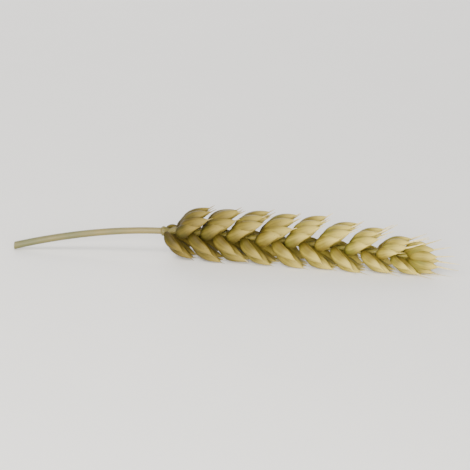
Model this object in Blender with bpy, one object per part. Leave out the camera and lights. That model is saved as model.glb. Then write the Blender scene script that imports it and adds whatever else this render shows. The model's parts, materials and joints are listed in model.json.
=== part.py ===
"""A wheat ear on a short cut straw, lying on its side.

Metres, +Z up, the ear's tip towards +X. The head is one grown body: a zigzag rachis with a spikelet at
each bend, to the left and right in turn, and a last one on top. Each spikelet has two keeled glumes
outside and a fan of florets between them, each a plump hull drawn out into a short awn.
"""

import math
import random

import bmesh
import bpy
from mathutils import Matrix, Vector

MM = 0.001

# The line of the whole ear: s runs from the collar, up the head, and is negative down the straw
STRAW_LENGTH = 45 * MM
RACHIS_LENGTH = 77 * MM
AXIS_HEIGHT = 8.2 * MM  # of the collar over the surface that the ear lies on
BOW_RADIUS = 800 * MM  # of the gentle sideways bend
STRAW_DROP = 6.52 * MM  # the cut end comes down to the surface
STRAW_DROP_POWER = 1.8
TIP_DROP = 3.4 * MM  # so does the tip
TIP_DROP_POWER = 1.5
ROLL_AT_COLLAR = math.radians(90)  # the flat face of the ear is turned this far to -Y
ROLL_AT_TIP = math.radians(82)

# The straw
STRAW_RADIUS_CUT = 1.25 * MM
STRAW_RADIUS_TOP = 1.0 * MM
STRAW_BORE_RADIUS = 0.6 * MM
STRAW_BORE_DEPTH = 7 * MM
STRAW_BORE_OVERSHOOT = 1 * MM  # of its cutter, past the cut end
STRAW_POINTS = 16
STRAW_BEVEL_STEPS = 3
JOINT_GAP = 0.3 * MM  # between the straw's solid and the head's

# The rachis
FIRST_NODE = 1.6 * MM
NODE_PITCH = 4.6 * MM
LOWEST_PITCH = 3.2 * MM
CROWDED_NODES = 3  # how soon the crowding of the lowest nodes eases
SIDE_SPIKELETS = 17
RACHIS_RADIUS = 1.3 * MM
RACHIS_THINNING = 0.75  # at the tip, as a share of the radius
RACHIS_BEVEL_STEPS = 1
RACHIS_END_PAST_NODE = 1.5 * MM
RACHIS_ZIGZAG = 0.55 * MM
COLLAR_RADIUS = 1.6 * MM
COLLAR_FOOT_RADIUS = 1.15 * MM
COLLAR_WIDEST = 0.6 * MM
COLLAR_LENGTH = 1.6 * MM

# How the spikelets change from the collar to the tip
SIZE_AT_COLLAR = 0.86
SIZE_AT_TIP = 0.78
SPREAD_AT_COLLAR = 30  # degrees from the rachis
SPREAD_IN_MIDDLE = 26
SPREAD_AT_TIP = 15
AWN_AT_COLLAR = 0.75
AWN_AT_TIP = 2.8
LOWER_SHARE = 0.15  # of the head, where the spikelets grow to full size
LOWER_SPREAD_SHARE = 0.3
UPPER_SHARE = 0.55  # where they start to shrink, and their awns to lengthen
UPPER_SPREAD_SHARE = 0.6
TOP_ROOT_SINK = 0.8 * MM

# Each organ: along, across and out are the place of its root in the spikelet; tilt leans it
# sideways, lean outwards, and turn swings its back from sideways (0) to outwards (90)
GLUME = dict(
    length=10.0 * MM, half_width=2.4 * MM, depth=1.8 * MM, arch=0.9 * MM, awn=1.4 * MM,
    along=-0.8 * MM, across=1.5 * MM, out=-0.8 * MM, tilt=27, lean=4, turn=28,
)
SIDE_FLORET = dict(
    length=12.2 * MM, half_width=2.65 * MM, depth=2.1 * MM, arch=1.1 * MM, awn=2.2 * MM,
    along=0.2 * MM, across=0.8 * MM, out=-0.3 * MM, tilt=18, lean=4, turn=38,
)
INNER_FLORET = dict(
    length=11.2 * MM, half_width=2.4 * MM, depth=2.0 * MM, arch=0.9 * MM, awn=2.2 * MM,
    along=1.6 * MM, across=0.6 * MM, out=0.7 * MM, tilt=7, lean=6, turn=66,
)
TOP_FLORET = dict(
    length=8.8 * MM, half_width=1.7 * MM, depth=1.4 * MM, arch=0.5 * MM, awn=1.8 * MM,
    along=4.4 * MM, across=0.1 * MM, out=0.7 * MM, tilt=1, lean=1, turn=80,
)
# The organs of a spikelet: each with its side, and how far it is moved up from its own along
FAN = (
    (GLUME, 1, 0.0), (GLUME, -1, 0.5 * MM), (SIDE_FLORET, 1, 0.0), (SIDE_FLORET, -1, 0.7 * MM),
    (INNER_FLORET, 1, 0.0), (INNER_FLORET, -1, 0.9 * MM), (TOP_FLORET, 1, 0.0),
)
SCALED_KEYS = ("length", "half_width", "depth", "arch", "along", "across", "out")
ROOT_FROM_AXIS = 0.5 * MM
ROOT_SINK = 1.5 * MM  # of a hull's pointed root, back into the rachis
AWN_RADIUS = 0.34 * MM
OUTLINE_SKEW = 0.72  # under 1 puts the widest place nearer to the root
OUTLINE_FULLNESS = 0.74
INNER_DEPTH = 0.55  # of a hull's inner side, as a share of its back's

# How far each organ strays from its rule
SEED = 23
STRAY_LENGTH = 0.05
STRAY_AWN = (0.75, 1.3)
STRAY_TILT = 1.5
STRAY_LEAN = 1.5
STRAY_TURN = 6
STRAY_SPREAD = 2.5
STRAY_TWIST = 7

# Hull facets
SIDES = 6
RINGS = 5

# The surface: what would reach below PRESS_HEIGHT bends flat, and the lowest is cut level
PRESS_HEIGHT = 1.3 * MM
FLAT_HEIGHT = 0.5 * MM
FLOOR_BLOCK = (400 * MM, 100 * MM, 20 * MM)

SMOOTH_ANGLE = math.radians(40)
WELD_DISTANCE = 0.01 * MM

HULL_COLOUR = (0.42, 0.34, 0.15)
HULL_ROUGHNESS = 0.62
STRAW_COLOUR = (0.27, 0.28, 0.12)
STRAW_ROUGHNESS = 0.5


def clear_scene():
    for item in list(bpy.data.objects):
        bpy.data.objects.remove(item, do_unlink=True)


def make_material(name, colour, roughness):
    material = bpy.data.materials.new(name)
    material.use_nodes = True
    shader = material.node_tree.nodes["Principled BSDF"]
    shader.inputs["Base Color"].default_value = (*colour, 1.0)
    shader.inputs["Roughness"].default_value = roughness
    shader.inputs["Metallic"].default_value = 0.0
    return material


def new_collection(name):
    collection = bpy.data.collections.new(name)
    bpy.context.scene.collection.children.link(collection)
    return collection


def add_object(name, mesh, collection):
    item = bpy.data.objects.new(name, mesh)
    collection.objects.link(item)
    return item


def smoothstep(value):
    value = min(1.0, max(0.0, value))
    return value * value * (3 - 2 * value)


def mixed(low, high, share):
    return low + (high - low) * share


def axis_point(s):
    """The ear's middle line, highest at the collar."""
    height = AXIS_HEIGHT
    if s < 0:
        height -= STRAW_DROP * (-s / STRAW_LENGTH) ** STRAW_DROP_POWER
    else:
        height -= TIP_DROP * (s / RACHIS_LENGTH) ** TIP_DROP_POWER
    return Vector((s, -s * s / (2 * BOW_RADIUS), height))


def node_place(index):
    """How far up the rachis a node stands."""
    crowding = (NODE_PITCH - LOWEST_PITCH) * CROWDED_NODES
    return FIRST_NODE + NODE_PITCH * index - crowding * (1 - math.exp(-index / CROWDED_NODES))


def axis_frame(s):
    """(tangent, the way the two rows stand out, the way the flat face looks) at s."""
    step = 0.5 * MM
    tangent = (axis_point(s + step) - axis_point(s - step)).normalized()
    level = Vector((0, 0, 1)).cross(tangent).normalized()
    upright = tangent.cross(level)
    roll = mixed(ROLL_AT_COLLAR, ROLL_AT_TIP, s / RACHIS_LENGTH)
    row = level * math.cos(roll) + upright * math.sin(roll)
    face = upright * math.cos(roll) - level * math.sin(roll)
    return tangent, row, face


def pressed(point):
    """The point, bent flat where it would reach the surface or go under it."""
    if point.z < PRESS_HEIGHT:
        point.z = PRESS_HEIGHT * math.exp((point.z - PRESS_HEIGHT) / PRESS_HEIGHT)
    return point


def hull_outline(t):
    """Share of a hull's full width at t, from its root (0) to the root of its awn (1)."""
    return max(0.0, math.sin(math.pi * t**OUTLINE_SKEW)) ** OUTLINE_FULLNESS


def hull_mesh(name, organ, root, along, back):
    """One glume or floret: a sphere drawn out to a keeled hull with an awn."""
    across = back.cross(along)
    shape = bmesh.new()
    bmesh.ops.create_uvsphere(shape, u_segments=SIDES, v_segments=RINGS, radius=1)
    for vertex in shape.verts:
        ring = round((1 - math.acos(max(-1.0, min(1.0, vertex.co.z))) / math.pi) * RINGS)
        angle = math.atan2(vertex.co.y, vertex.co.x) + math.pi / SIDES
        if ring in (0, RINGS):
            width = depth = 0.0
        else:
            share = hull_outline(ring / (RINGS - 1))
            width = max(AWN_RADIUS, organ["half_width"] * share)
            depth = max(AWN_RADIUS, organ["depth"] * share)
        t = min(1.0, ring / (RINGS - 1))
        distance = organ["length"] * t
        if ring == 0:
            distance -= ROOT_SINK
        elif ring == RINGS:
            distance += organ["awn"]
        rise = math.sin(angle) * depth * (1.0 if math.sin(angle) > 0 else INNER_DEPTH)
        rise += organ["arch"] * math.sin(math.pi * t)
        place = root + along * distance + across * (math.cos(angle) * width) + back * rise
        vertex.co = pressed(place)
    mesh = bpy.data.meshes.new(name)
    shape.to_mesh(mesh)
    shape.free()
    return mesh


def turned_towards(vector, towards, degrees):
    angle = math.radians(degrees)
    return (vector * math.cos(angle) + towards * math.sin(angle)).normalized()


def organ_places(root, along, out, face, size, awn_size, draw):
    """The organs of one spikelet: (organ, root, direction, back) for each."""
    organs = []
    first = 1 if draw.random() < 0.5 else -1
    for organ, side, rise in FAN:
        side *= first
        scaled = dict(organ)
        scaled["along"] += rise
        for key in SCALED_KEYS:
            scaled[key] *= size
        scaled["length"] *= draw.uniform(1 - STRAY_LENGTH, 1 + STRAY_LENGTH)
        scaled["awn"] *= awn_size * draw.uniform(*STRAY_AWN)
        sideways = face * side
        place = root + along * scaled["along"] + sideways * scaled["across"] + out * scaled["out"]
        tilt = organ["tilt"] + draw.uniform(-STRAY_TILT, STRAY_TILT)
        lean = organ["lean"] + draw.uniform(-STRAY_LEAN, STRAY_LEAN)
        direction = turned_towards(turned_towards(along, sideways, tilt), out, lean)
        back = turned_towards(sideways, out, organ["turn"] + draw.uniform(-STRAY_TURN, STRAY_TURN))
        back = (back - direction * back.dot(direction)).normalized()
        organs.append((scaled, place, direction, back))
    return organs


def spikelets():
    """The organs of every spikelet, from the collar to the tip."""
    draw = random.Random(SEED)
    found = []
    for index in range(SIDE_SPIKELETS + 1):
        share = index / SIDE_SPIKELETS
        s = node_place(index)
        tangent, row, face = axis_frame(s)
        side = 1 if index % 2 else -1
        upper = smoothstep((share - UPPER_SHARE) / (1 - UPPER_SHARE))
        size = mixed(SIZE_AT_COLLAR, 1, smoothstep(share / LOWER_SHARE)) * mixed(1, SIZE_AT_TIP, upper)
        awn_size = mixed(AWN_AT_COLLAR, AWN_AT_TIP, upper)
        if index < SIDE_SPIKELETS:
            spread = mixed(SPREAD_AT_COLLAR, SPREAD_IN_MIDDLE, smoothstep(share / LOWER_SPREAD_SHARE))
            closing = smoothstep((share - UPPER_SPREAD_SHARE) / (1 - UPPER_SPREAD_SHARE))
            spread = mixed(spread, SPREAD_AT_TIP, closing) + draw.uniform(-STRAY_SPREAD, STRAY_SPREAD)
            along = turned_towards(tangent, row * side, spread)
            out = turned_towards(row * side, -tangent, spread)
            root = axis_point(s) + row * side * ROOT_FROM_AXIS
        else:
            # The top spikelet stands crosswise to the rest
            along, out, face = tangent, face, row
            root = axis_point(s - TOP_ROOT_SINK)
        twist = draw.uniform(-STRAY_TWIST, STRAY_TWIST)
        face, out = turned_towards(face, out, twist), turned_towards(out, -face, twist)
        found.append(organ_places(root, along, out, face, size, awn_size, draw))
    return found


def tube(name, points, radii, collection, bevel_steps):
    """A POLY curve with a round section, made a closed mesh."""
    curve = bpy.data.curves.new(name, "CURVE")
    curve.dimensions = "3D"
    curve.bevel_depth = 1.0
    curve.bevel_resolution = bevel_steps
    curve.use_fill_caps = True
    spline = curve.splines.new("POLY")
    spline.points.add(len(points) - 1)
    for knot, point, radius in zip(spline.points, points, radii):
        knot.co = (*point, 1.0)
        knot.radius = radius
    guide = add_object(name + "_curve", curve, collection)
    bpy.context.view_layer.update()
    mesh = bpy.data.meshes.new_from_object(guide.evaluated_get(bpy.context.evaluated_depsgraph_get()))
    bpy.data.objects.remove(guide)
    shape = bmesh.new()
    shape.from_mesh(mesh)
    bmesh.ops.remove_doubles(shape, verts=shape.verts, dist=WELD_DISTANCE)
    bmesh.ops.recalc_face_normals(shape, faces=shape.faces)
    shape.to_mesh(mesh)
    shape.free()
    return add_object(name, mesh, collection)


def apply_boolean(target, operation, **operand):
    """Joins to, or cuts from, the target, and keeps the result as its mesh."""
    modifier = target.modifiers.new(operation.lower(), "BOOLEAN")
    modifier.operation = operation
    modifier.solver = "MANIFOLD"
    for key, value in operand.items():
        setattr(modifier, key, value)
    bpy.context.view_layer.update()
    mesh = bpy.data.meshes.new_from_object(target.evaluated_get(bpy.context.evaluated_depsgraph_get()))
    target.modifiers.clear()
    target.data = mesh


def keep_outer_body(target):
    """Drops loose scraps, and the walls of hollows that the join sealed."""
    shape = bmesh.new()
    shape.from_mesh(target.data)
    bmesh.ops.triangulate(shape, faces=shape.faces)
    unseen = set(shape.faces)
    bodies = []
    while unseen:
        grown = [unseen.pop()]
        body = set(grown)
        while grown:
            for edge in grown.pop().edges:
                if len(edge.link_faces) != 2:
                    continue
                for face in edge.link_faces:
                    if face in unseen:
                        unseen.discard(face)
                        body.add(face)
                        grown.append(face)
        bodies.append(body)
    largest = max(bodies, key=len)
    bmesh.ops.delete(shape, geom=[face for face in shape.faces if face not in largest], context="FACES")
    shape.to_mesh(target.data)
    shape.free()


def finish(target, material):
    target.data.materials.clear()
    target.data.materials.append(material)
    for polygon in target.data.polygons:
        polygon.use_smooth = True
    target.data.set_sharp_from_angle(angle=SMOOTH_ANGLE)


def make_rachis(collection):
    """The head's core: a collar, then a bend at each node."""
    points = [axis_point(0), axis_point(COLLAR_WIDEST), axis_point(COLLAR_LENGTH)]
    radii = [COLLAR_FOOT_RADIUS, COLLAR_RADIUS, RACHIS_RADIUS]
    for index in range(SIDE_SPIKELETS):
        s = node_place(index)
        side = 1 if index % 2 else -1
        points.append(axis_point(s) + axis_frame(s)[1] * side * RACHIS_ZIGZAG)
        radii.append(RACHIS_RADIUS * mixed(1, RACHIS_THINNING, index / SIDE_SPIKELETS))
    points.append(axis_point(node_place(SIDE_SPIKELETS) + RACHIS_END_PAST_NODE))
    radii.append(RACHIS_RADIUS * RACHIS_THINNING)
    return tube("head", points, radii, collection, RACHIS_BEVEL_STEPS)


def floor_cutter(collection):
    """A block whose top is the level that the ear's underside is cut to."""
    bpy.ops.mesh.primitive_cube_add(size=1, location=(0, 0, 0))
    block = bpy.context.active_object
    block.name = "floor_cutter"
    under = Matrix.Translation((0, 0, FLAT_HEIGHT - FLOOR_BLOCK[2] / 2))
    block.data.transform(under @ Matrix.Diagonal((*FLOOR_BLOCK, 1)))
    for owner in list(block.users_collection):
        owner.objects.unlink(block)
    collection.objects.link(block)
    block.hide_render = True
    block.display_type = "WIRE"
    return block


def make_head(parts, cutters, material):
    head = make_rachis(parts)
    hulls = new_collection("hulls")
    for number, organs in enumerate(spikelets()):
        for place, (organ, root, along, back) in enumerate(organs):
            name = f"hull_{number}_{place}"
            add_object(name, hull_mesh(name, organ, root, along, back), hulls)
    apply_boolean(head, "UNION", operand_type="COLLECTION", collection=hulls)
    for item in list(hulls.objects):
        bpy.data.objects.remove(item)
    bpy.data.collections.remove(hulls)
    apply_boolean(head, "DIFFERENCE", object=floor_cutter(cutters))
    keep_outer_body(head)
    finish(head, material)
    return head


def make_straw(parts, cutters, material):
    """The cut straw, with the mouth of its hollow at the cut end."""
    points, radii = [], []
    for index in range(STRAW_POINTS):
        share = index / (STRAW_POINTS - 1)
        s = mixed(-STRAW_LENGTH, -JOINT_GAP, share)
        points.append(axis_point(s))
        radii.append(mixed(STRAW_RADIUS_CUT, STRAW_RADIUS_TOP, share))
    straw = tube("straw", points, radii, parts, STRAW_BEVEL_STEPS)
    bore_ends = [
        axis_point(-STRAW_LENGTH - STRAW_BORE_OVERSHOOT), axis_point(-STRAW_LENGTH + STRAW_BORE_DEPTH),
    ]
    bore = tube("bore_cutter", bore_ends, [STRAW_BORE_RADIUS] * 2, cutters, RACHIS_BEVEL_STEPS)
    bore.hide_render = True
    bore.display_type = "WIRE"
    apply_boolean(straw, "DIFFERENCE", object=bore)
    finish(straw, material)
    return straw


def settle(items):
    """Puts the origin under the middle of the whole ear, on the surface that it lies on."""
    corners = [vertex.co for item in items for vertex in item.data.vertices]
    low = Vector(min(corner[axis] for corner in corners) for axis in range(3))
    high = Vector(max(corner[axis] for corner in corners) for axis in range(3))
    shift = Vector((-(low.x + high.x) / 2, -(low.y + high.y) / 2, -low.z))
    for item in items:
        item.data.transform(Matrix.Translation(shift))


def main():
    clear_scene()
    parts = new_collection("wheat_ear")
    cutters = new_collection("cutters")
    head = make_head(parts, cutters, make_material("ripe_hulls", HULL_COLOUR, HULL_ROUGHNESS))
    straw = make_straw(parts, cutters, make_material("green_straw", STRAW_COLOUR, STRAW_ROUGHNESS))
    settle([head, straw])


main()
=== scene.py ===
"""Dresses the wheat ear: veined glumes and lemmas with awns, inner husks, a zigzag rachis with hairs,
and a round straw with a hollow cut end, lying on a pale floor."""

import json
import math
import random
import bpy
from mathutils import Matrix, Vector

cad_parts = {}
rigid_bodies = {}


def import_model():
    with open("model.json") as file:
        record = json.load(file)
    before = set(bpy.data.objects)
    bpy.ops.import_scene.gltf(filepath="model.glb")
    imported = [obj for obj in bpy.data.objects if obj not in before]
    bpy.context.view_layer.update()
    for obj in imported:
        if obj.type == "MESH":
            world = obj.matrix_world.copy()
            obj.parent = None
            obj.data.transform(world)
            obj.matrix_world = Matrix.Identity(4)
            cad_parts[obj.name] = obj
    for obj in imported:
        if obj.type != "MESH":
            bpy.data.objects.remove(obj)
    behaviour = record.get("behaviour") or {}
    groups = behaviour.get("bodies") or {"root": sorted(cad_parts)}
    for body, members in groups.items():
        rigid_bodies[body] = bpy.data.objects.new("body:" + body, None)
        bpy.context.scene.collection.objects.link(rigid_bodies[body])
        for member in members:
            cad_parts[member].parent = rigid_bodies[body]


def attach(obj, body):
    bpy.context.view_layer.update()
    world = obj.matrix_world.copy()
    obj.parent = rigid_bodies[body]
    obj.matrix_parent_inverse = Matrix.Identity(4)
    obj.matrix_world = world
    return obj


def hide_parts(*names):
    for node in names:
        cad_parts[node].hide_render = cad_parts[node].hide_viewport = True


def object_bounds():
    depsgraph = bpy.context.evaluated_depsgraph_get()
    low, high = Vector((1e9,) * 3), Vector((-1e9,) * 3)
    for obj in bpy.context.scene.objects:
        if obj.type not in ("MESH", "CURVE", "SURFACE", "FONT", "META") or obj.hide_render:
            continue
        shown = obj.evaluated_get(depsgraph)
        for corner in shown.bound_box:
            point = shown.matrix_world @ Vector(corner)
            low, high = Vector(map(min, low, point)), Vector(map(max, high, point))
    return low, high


bl_info = {
    "name": "Wheat Ear",
    "version": (1, 0, 0),
    "blender": (4, 5, 0),
    "location": "3D View > Sidebar > Wheat Ear",
    "description": "Builds a wheat ear hull by hull, on a short cut straw",
    "category": "Object",
}

import bmesh
import bpy
from bpy.props import FloatProperty, FloatVectorProperty, IntProperty, PointerProperty
from mathutils import Matrix, Vector

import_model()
CAD_LOW, CAD_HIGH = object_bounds()

MM = 0.001

# The line of the whole ear, as in the solids
STRAW_LENGTH = 45 * MM
RACHIS_LENGTH = 77 * MM
AXIS_HEIGHT = 8.2 * MM
BOW_RADIUS = 800 * MM
STRAW_DROP = 6.52 * MM
STRAW_DROP_POWER = 1.8
TIP_DROP = 3.4 * MM
TIP_DROP_POWER = 1.5
ROLL_AT_COLLAR = math.radians(90)
ROLL_AT_TIP = math.radians(82)
ORIGIN_SHIFT = Vector((-23.09655, 2.26234, -0.5)) * MM

STRAW_RADIUS_CUT = 1.17 * MM
STRAW_RADIUS_TOP = 1.0 * MM
STRAW_BORE_RADIUS = 0.72 * MM
STRAW_BORE_DEPTH = 7 * MM

FIRST_NODE = 1.6 * MM
NODE_PITCH = 4.6 * MM
LOWEST_PITCH = 3.2 * MM  # the lowest nodes are crowded
CROWDED_NODES = 3
SIDE_SPIKELETS = 17
RACHIS_ZIGZAG = 0.55 * MM
COLLAR_LENGTH = 2.6 * MM
# Share of the collar's length, and the radius there in millimetres
COLLAR_PROFILE = (
    (0, 0.9), (0.06, 1.08), (0.14, 1.3), (0.24, 1.46), (0.36, 1.52), (0.48, 1.45), (0.6, 1.3), (0.74, 1.12),
    (0.88, 0.96), (1, 0.75),
)

SIZE_AT_COLLAR = 0.86
SIZE_AT_TIP = 0.78
SPREAD_AT_COLLAR = 30
SPREAD_IN_MIDDLE = 26
SPREAD_AT_TIP = 15
AWN_AT_COLLAR = 0.75
AWN_AT_TIP = 2.8
LOWER_SHARE = 0.15
LOWER_SPREAD_SHARE = 0.3
UPPER_SHARE = 0.55
UPPER_SPREAD_SHARE = 0.6
TOP_ROOT_SINK = 0.8 * MM

GLUME = dict(
    kind="glume",
    length=10.0 * MM, half_width=2.4 * MM, depth=1.8 * MM, arch=0.9 * MM, awn=1.4 * MM,
    along=-0.8 * MM, across=1.5 * MM, out=-0.8 * MM, tilt=27, lean=4, turn=28,
)
SIDE_FLORET = dict(
    kind="side",
    length=12.2 * MM, half_width=2.65 * MM, depth=2.1 * MM, arch=1.1 * MM, awn=2.2 * MM,
    along=0.2 * MM, across=0.8 * MM, out=-0.3 * MM, tilt=18, lean=4, turn=38,
)
INNER_FLORET = dict(
    kind="inner",
    length=11.2 * MM, half_width=2.4 * MM, depth=2.0 * MM, arch=0.9 * MM, awn=2.2 * MM,
    along=1.6 * MM, across=0.6 * MM, out=0.7 * MM, tilt=7, lean=6, turn=66,
)
TOP_FLORET = dict(
    kind="top",
    length=8.8 * MM, half_width=1.7 * MM, depth=1.4 * MM, arch=0.5 * MM, awn=1.8 * MM,
    along=4.4 * MM, across=0.1 * MM, out=0.7 * MM, tilt=1, lean=1, turn=80,
)
# The organs of a spikelet: each with its side, and how far it is moved up from its own along
FAN = (
    (GLUME, 1, 0.0), (GLUME, -1, 0.5 * MM), (SIDE_FLORET, 1, 0.0), (SIDE_FLORET, -1, 0.7 * MM),
    (INNER_FLORET, 1, 0.0), (INNER_FLORET, -1, 0.9 * MM), (TOP_FLORET, 1, 0.0),
)
FLORETS = (SIDE_FLORET, INNER_FLORET, TOP_FLORET)
SCALED_KEYS = ("length", "half_width", "depth", "arch", "along", "across", "out")
ROOT_FROM_AXIS = 0.5 * MM
OUTLINE_SKEW = 0.72
OUTLINE_FULLNESS = 0.74

SEED = 23
STRAY_LENGTH = 0.05
STRAY_AWN = (0.75, 1.3)
STRAY_TILT = 1.5
STRAY_LEAN = 1.5
STRAY_TURN = 6
STRAY_SPREAD = 2.5
STRAY_TWIST = 7

PRESS_HEIGHT = 1.3 * MM
FLAT_HEIGHT = 0.5 * MM

# What the finer pieces have over the solids
PALEA_DEPTH = 0.95  # how far a grain swells its floret's inner side, as a share of the depth of its back
PALEA_ARCH = -0.6
PALEA_FIT = 0.93  # its width, as a share of the lemma's
PALEA_LENGTH = 0.95
HULL_SWAY = 0.3  # in millimetres at the tip, either way
HULL_TWIST = 7
AWN_OVERLAP = 1.2 * MM  # how far an awn's root runs down its hull
AWN_LIFT = 0.04 * MM
AWN_SWAY = 0.09
AWN_SIZE_AT_TIP = 1.25
BEAK_SIZE = 1.1
RACHIS_SIZE_AT_TIP = 0.6
HAIR_RING_WIDTH = 1.2 * MM
HAIR_RING_DEPTH = 0.9 * MM
HAIR_DROP = (0.2, 1.4)  # in millimetres under the node
HAIR_LEAN = (0.35, 0.9)
HAIR_LENGTHS = (0.6, 1.2)

# How finely each shape is laid out
HULL_COLUMNS = 24
HULL_ROWS = 20
ROW_CROWDING = 1.5  # the rows of a hull stand closer together near its root
HUSK_COLUMNS = 12
HUSK_ROWS = 12
COLUMNS_PER_NERVE = 3
STRAW_SIDES = 48
STRAW_RINGS = 30
STEM_SIDES = 12
RACHIS_SIDES = 14
COLLAR_SIDES = 24
AWN_SIDES = 6
AWN_RINGS = 9
HAIR_SIDES = 3
SMOOTH_ANGLE = math.radians(55)

# How the colours lie
TONE_STARTS = -0.1  # in lengths of the rachis from the collar; the darker tone there is part ripening, part painted shadow
TONE_ENDS = 0.9
INNER_PALENESS = 0.7  # how far the inner side of a hull is as pale as its tip
STALK_TONE = 0.5  # how far the straw and the rachis share the darker tone of the lower hulls, part ripening and part painted shadow
BEAK_TINTS = (0.0, 0.4)
AWN_TINTS = (0.6, 1.0)
STRAW_TINT = 0.4
WHITE = (1.0, 1.0, 1.0)

# The stage: for each light its name, place, size, power and tone
LIGHTS = (
    ("key_light", (-0.26, -0.30, 0.55), 0.30, 3.4, (1.0, 0.96, 0.88)),
    ("fill_light", (0.10, -0.75, 0.12), 0.60, 18.0, (1.0, 0.97, 0.90)),
    ("back_light", (-0.15, 0.70, 0.30), 0.60, 4.0, (1.0, 0.97, 0.92)),
)
ROOM_COLOUR = (0.95, 0.96, 1.0, 1.0)
ROOM_STRENGTH = 0.7
CAMERA_AZIMUTH = math.radians(8)
CAMERA_ELEVATION = math.radians(20)
CAMERA_DISTANCE = 1.15
CAMERA_FIELD = 0.142
CAMERA_SENSOR = 36


# The rule that places every hull, the same as in the solids


def smoothstep(value):
    value = min(1.0, max(0.0, value))
    return value * value * (3 - 2 * value)


def mixed(low, high, share):
    return low + (high - low) * share


def axis_point(s):
    """The ear's middle line, highest at the collar."""
    height = AXIS_HEIGHT
    if s < 0:
        height -= STRAW_DROP * (-s / STRAW_LENGTH) ** STRAW_DROP_POWER
    else:
        height -= TIP_DROP * (s / RACHIS_LENGTH) ** TIP_DROP_POWER
    return Vector((s, -s * s / (2 * BOW_RADIUS), height))


def node_place(index):
    """How far up the rachis a node stands."""
    crowding = (NODE_PITCH - LOWEST_PITCH) * CROWDED_NODES
    return FIRST_NODE + NODE_PITCH * index - crowding * (1 - math.exp(-index / CROWDED_NODES))


def axis_frame(s):
    """(tangent, the way the two rows stand out, the way the flat face looks) at s."""
    step = 0.5 * MM
    tangent = (axis_point(s + step) - axis_point(s - step)).normalized()
    level = Vector((0, 0, 1)).cross(tangent).normalized()
    upright = tangent.cross(level)
    roll = mixed(ROLL_AT_COLLAR, ROLL_AT_TIP, s / RACHIS_LENGTH)
    row = level * math.cos(roll) + upright * math.sin(roll)
    face = upright * math.cos(roll) - level * math.sin(roll)
    return tangent, row, face


def node_point(index):
    """Where the rachis bends, to one side and the other in turn, and a spikelet stands."""
    s = node_place(index)
    return axis_point(s) + axis_frame(s)[1] * (1 if index % 2 else -1) * RACHIS_ZIGZAG


def turned_towards(vector, towards, degrees):
    angle = math.radians(degrees)
    return (vector * math.cos(angle) + towards * math.sin(angle)).normalized()


def organ_places(root, along, out, face, size, awn_size, draw):
    """The organs of one spikelet: (organ, side, root, direction, back) for each."""
    organs = []
    first = 1 if draw.random() < 0.5 else -1
    for organ, side, rise in FAN:
        side *= first
        scaled = dict(organ)
        scaled["along"] += rise
        for key in SCALED_KEYS:
            scaled[key] *= size
        scaled["length"] *= draw.uniform(1 - STRAY_LENGTH, 1 + STRAY_LENGTH)
        scaled["awn"] *= awn_size * draw.uniform(*STRAY_AWN)
        sideways = face * side
        place = root + along * scaled["along"] + sideways * scaled["across"] + out * scaled["out"]
        tilt = organ["tilt"] + draw.uniform(-STRAY_TILT, STRAY_TILT)
        lean = organ["lean"] + draw.uniform(-STRAY_LEAN, STRAY_LEAN)
        direction = turned_towards(turned_towards(along, sideways, tilt), out, lean)
        back = turned_towards(sideways, out, organ["turn"] + draw.uniform(-STRAY_TURN, STRAY_TURN))
        back = (back - direction * back.dot(direction)).normalized()
        organs.append((scaled, side, place, direction, back))
    return organs


def spikelets():
    """The organs of every spikelet, from the collar to the tip."""
    draw = random.Random(SEED)
    found = []
    for index in range(SIDE_SPIKELETS + 1):
        share = index / SIDE_SPIKELETS
        s = node_place(index)
        tangent, row, face = axis_frame(s)
        side = 1 if index % 2 else -1
        upper = smoothstep((share - UPPER_SHARE) / (1 - UPPER_SHARE))
        size = mixed(SIZE_AT_COLLAR, 1, smoothstep(share / LOWER_SHARE)) * mixed(1, SIZE_AT_TIP, upper)
        awn_size = mixed(AWN_AT_COLLAR, AWN_AT_TIP, upper)
        if index < SIDE_SPIKELETS:
            spread = mixed(SPREAD_AT_COLLAR, SPREAD_IN_MIDDLE, smoothstep(share / LOWER_SPREAD_SHARE))
            closing = smoothstep((share - UPPER_SPREAD_SHARE) / (1 - UPPER_SPREAD_SHARE))
            spread = mixed(spread, SPREAD_AT_TIP, closing) + draw.uniform(-STRAY_SPREAD, STRAY_SPREAD)
            along = turned_towards(tangent, row * side, spread)
            out = turned_towards(row * side, -tangent, spread)
            root = axis_point(s) + row * side * ROOT_FROM_AXIS
        else:
            # The top spikelet stands crosswise to the rest
            along, out, face = tangent, face, row
            root = axis_point(s - TOP_ROOT_SINK)
        twist = draw.uniform(-STRAY_TWIST, STRAY_TWIST)
        face, out = turned_towards(face, out, twist), turned_towards(out, -face, twist)
        found.append(organ_places(root, along, out, face, size, awn_size, draw))
    return found


def settled(point):
    """The point on the finished ear: bent flat near the surface, then moved to the ear's own origin."""
    if point.z < PRESS_HEIGHT:
        room = PRESS_HEIGHT - FLAT_HEIGHT
        point.z = FLAT_HEIGHT + room * math.exp((point.z - PRESS_HEIGHT) / room)
    return point + ORIGIN_SHIFT


# Modelling by hand: an operator acts on what is chosen


def deselect_all():
    for item in bpy.context.view_layer.objects:
        item.select_set(False)


def make_active(item):
    deselect_all()
    item.select_set(True)
    bpy.context.view_layer.objects.active = item


def lines(item, axis):
    """The item's vertex numbers, line by line along an axis, found by their place."""
    places = {}
    for vertex in item.data.vertices:
        places.setdefault(round(vertex.co[axis], 5), []).append(vertex.index)
    return [places[key] for key in sorted(places)]


def choose(item, numbers):
    """In edit mode: selects these vertices and nothing else."""
    bpy.ops.mesh.select_all(action="DESELECT")
    shape = bmesh.from_edit_mesh(item.data)
    shape.verts.ensure_lookup_table()
    for number in numbers:
        shape.verts[number].select_set(True)
    shape.select_flush(True)
    bmesh.update_edit_mesh(item.data, loop_triangles=False, destructive=False)


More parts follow.
